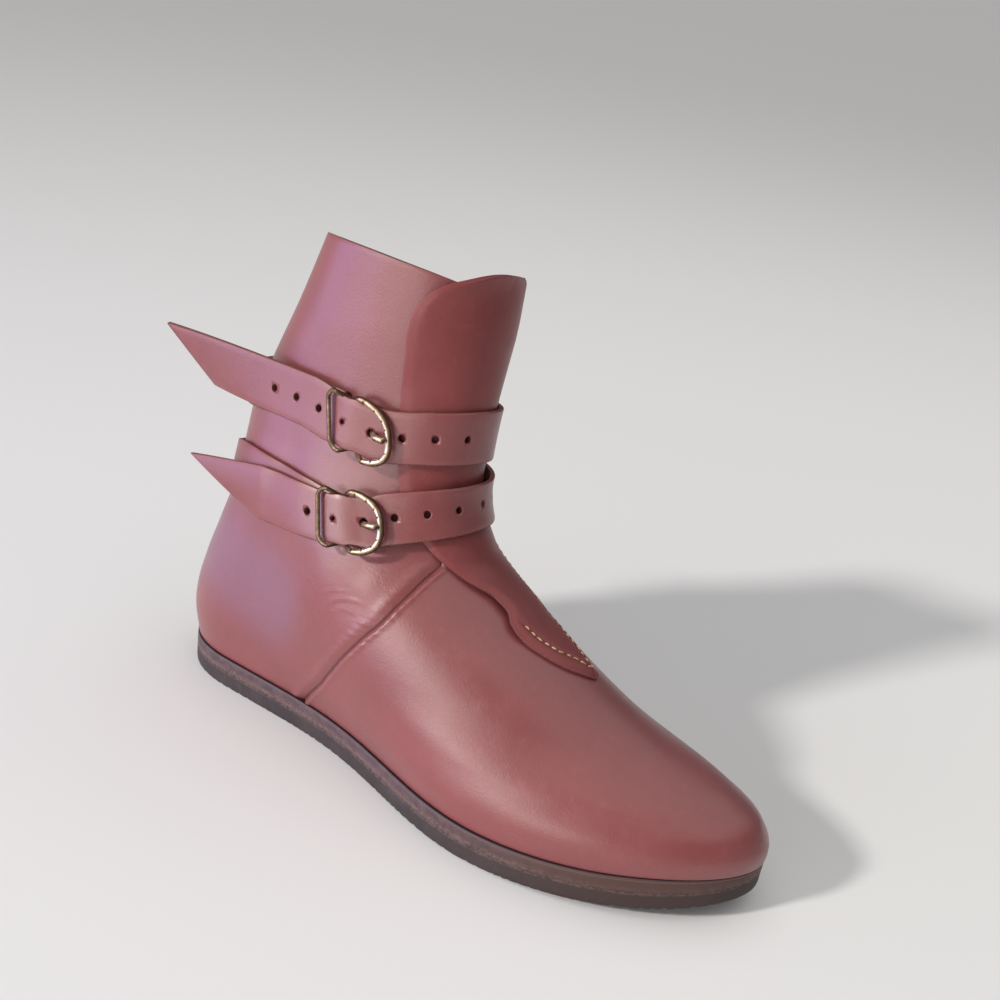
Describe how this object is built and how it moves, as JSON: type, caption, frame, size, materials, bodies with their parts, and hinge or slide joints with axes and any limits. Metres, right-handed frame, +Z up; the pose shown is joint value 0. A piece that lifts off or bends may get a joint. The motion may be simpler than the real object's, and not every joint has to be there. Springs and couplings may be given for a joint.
{
  "type": "buckled ankle boot",
  "caption": "Ankle boot in dark red leather with a front flap under wrap-round straps, centre-bar buckles on the outer side and a low flat rubber sole; worn on the right foot.",
  "frame": {"origin": "on the floor, in the flat under side of the sole, on the middle line of the heel and about half way along the foot", "axes": "+X to the toe, +Y to the inner side of the foot, +Z up"},
  "size_m": [0.3128, 0.1057, 0.2178],
  "materials": {
    "upper_leather": "smooth waxed grain, semi-gloss",
    "flap_leather": "smooth grain, raw cut edges",
    "strap_leather": "smooth grain, raw cut edges",
    "sole_rubber": "matt, finely ribbed at its under edge",
    "midsole_leather": "dyed and burnished edge",
    "insole_leather": "rough flesh side",
    "aged_brass": "darkened with age"
  },
  "bodies": {
    "root": {"outsole": "sole_rubber", "midsole": "midsole_leather", "insole": "insole_leather", "upper": "upper_leather", "front_flap": "flap_leather", "strap_upper": "strap_leather", "strap_lower": "strap_leather", "buckle_upper_frame": "aged_brass", "buckle_upper_pin": "aged_brass", "buckle_lower_frame": "aged_brass", "buckle_lower_pin": "aged_brass"}
  },
  "joints": []
}
